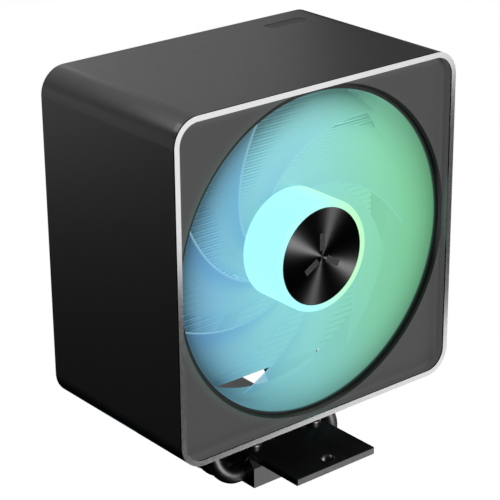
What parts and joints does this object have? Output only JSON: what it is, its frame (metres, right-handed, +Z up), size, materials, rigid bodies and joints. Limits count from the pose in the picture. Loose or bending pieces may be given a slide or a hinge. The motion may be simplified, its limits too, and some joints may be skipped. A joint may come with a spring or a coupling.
{
  "type": "cpu tower cooler",
  "caption": "Processor tower cooler: a lit fan in front of a fin stack on bent heat pipes, inside a square open-ended shroud, with a base and a mounting bar.",
  "frame": {"origin": "centre of the base's underside, where it sits on the processor", "axes": "+Z up from the processor to the top of the tower; -Y out of the fan's front; +X to the right seen from the fan's front"},
  "size_m": [0.126, 0.0928, 0.1545],
  "materials": {
    "shroud_black": "satin black anodised",
    "trim_bright": "bright polished edge",
    "panel_black": "satin dark grey",
    "badge_grey": "matte",
    "frame_black": "matte black plastic",
    "impeller_frosted": "frosted translucent",
    "cap_spun": "spun metal, black",
    "emblem_grey": "matte",
    "steel": "zinc plated",
    "magnet": "bonded ferrite",
    "lamination": "laminated steel",
    "copper_wire": "enamelled copper",
    "insulator_plastic": "matte",
    "board_green": "solder mask",
    "led_white": "clear",
    "brass": "machined",
    "bronze": "sintered",
    "washer_rubber": "matte",
    "fin_black": "black coated",
    "pipe_black": "black nickel",
    "base_black": "black nickel, glossy",
    "bar_black": "satin black",
    "screw_black": "black oxide",
    "foam_black": "closed cell foam",
    "socket_black": "matte"
  },
  "bodies": {
    "cooler": {"shroud": "shroud_black", "top_badge": "badge_grey", "front_trim": "trim_bright", "front_panel": "panel_black", "fan_frame": "frame_black", "fan_washers": "washer_rubber", "fan_nuts": "steel", "bearing_tube": "brass", "sleeve_bearing": "bronze", "shaft_retainer": "insulator_plastic", "thrust_pad": "insulator_plastic", "stator_core": "lamination", "stator_insulators": "insulator_plastic", "stator_windings": "copper_wire", "motor_board": "board_green", "led_chips": "led_white", "fan_socket": "socket_black", "socket_pins": "brass", "fin_stack": "fin_black", "base_block": "base_black", "mounting_bar": "bar_black", "bar_screws": "screw_black", "foam_strips": "foam_black", "heat_pipe_1": "pipe_black", "heat_pipe_2": "pipe_black", "heat_pipe_3": "pipe_black", "heat_pipe_4": "pipe_black", "heat_pipe_5": "pipe_black"},
    "rotor": {"impeller": "impeller_frosted", "hub_cap": "cap_spun", "cap_emblem": "emblem_grey", "rotor_yoke": "steel", "rotor_magnet": "magnet", "rotor_shaft": "steel"}
  },
  "joints": [
    {"name": "fan_spin", "type": "hinge", "parent": "cooler", "child": "rotor", "pos_m": [0, 0, 0.0915], "axis": [0, -1, 0], "continuous": true}
  ]
}
